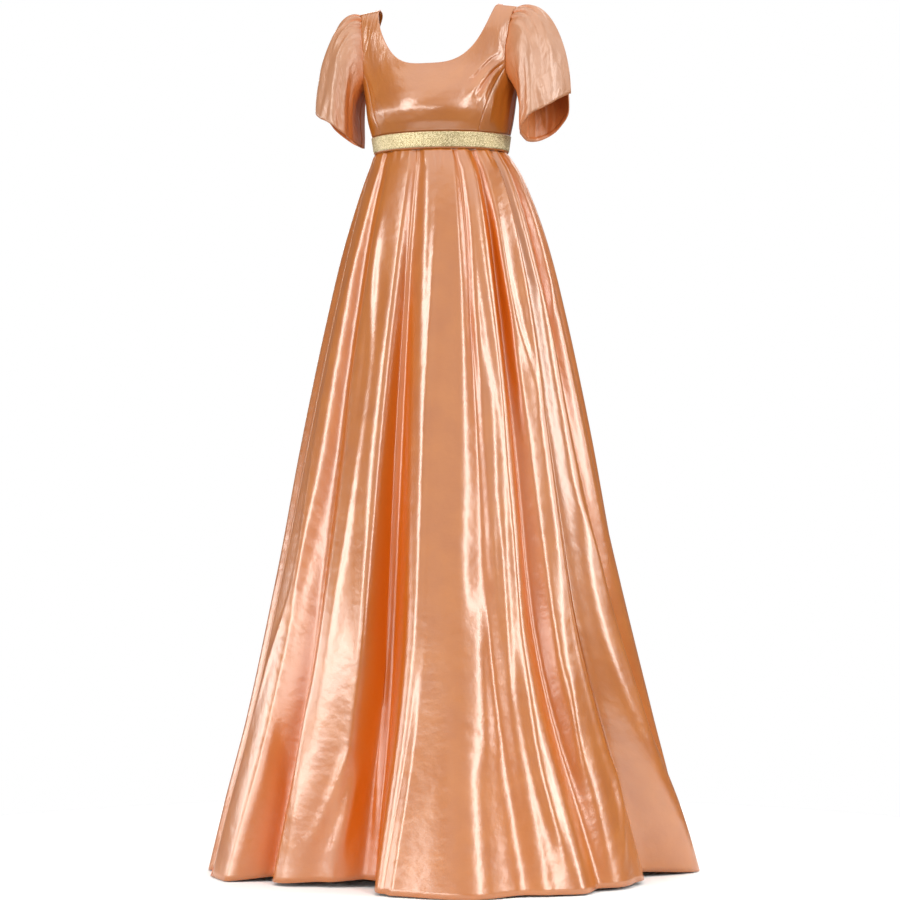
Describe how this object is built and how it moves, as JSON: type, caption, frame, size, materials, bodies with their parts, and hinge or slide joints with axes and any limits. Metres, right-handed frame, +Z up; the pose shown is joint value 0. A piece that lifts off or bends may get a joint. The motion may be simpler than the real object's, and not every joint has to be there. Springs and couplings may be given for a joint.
{
  "type": "regency gown",
  "caption": "Long high-waisted gown in satin, hollow as worn: scooped neck, puffed petal sleeves, ribbon-trimmed waistband and a full gathered skirt.",
  "frame": {"origin": "between the shoulders, level with the tops of the shoulder straps, where the wearer carries the gown", "axes": "+Z up, -Y to the gown's front, +X to the wearer's left"},
  "size_m": [0.8063, 0.8037, 1.4563],
  "materials": {
    "satin": "satin weave, soft shine",
    "sleeve_satin": "paler satin, soft shine",
    "gold_glitter": "ribbon set with gold glitter"
  },
  "bodies": {
    "root": {"bodice_centre_front": "satin", "bodice_side_front_left": "satin", "bodice_side_front_right": "satin", "bodice_back_left": "satin", "bodice_back_right": "satin", "waistband": "satin", "skirt_front": "satin", "skirt_back_left": "satin", "skirt_back_right": "satin", "sleeve_left_front_petal": "sleeve_satin", "sleeve_left_back_petal": "sleeve_satin", "sleeve_right_front_petal": "sleeve_satin", "sleeve_right_back_petal": "sleeve_satin", "gold_trim": "gold_glitter"}
  },
  "joints": []
}
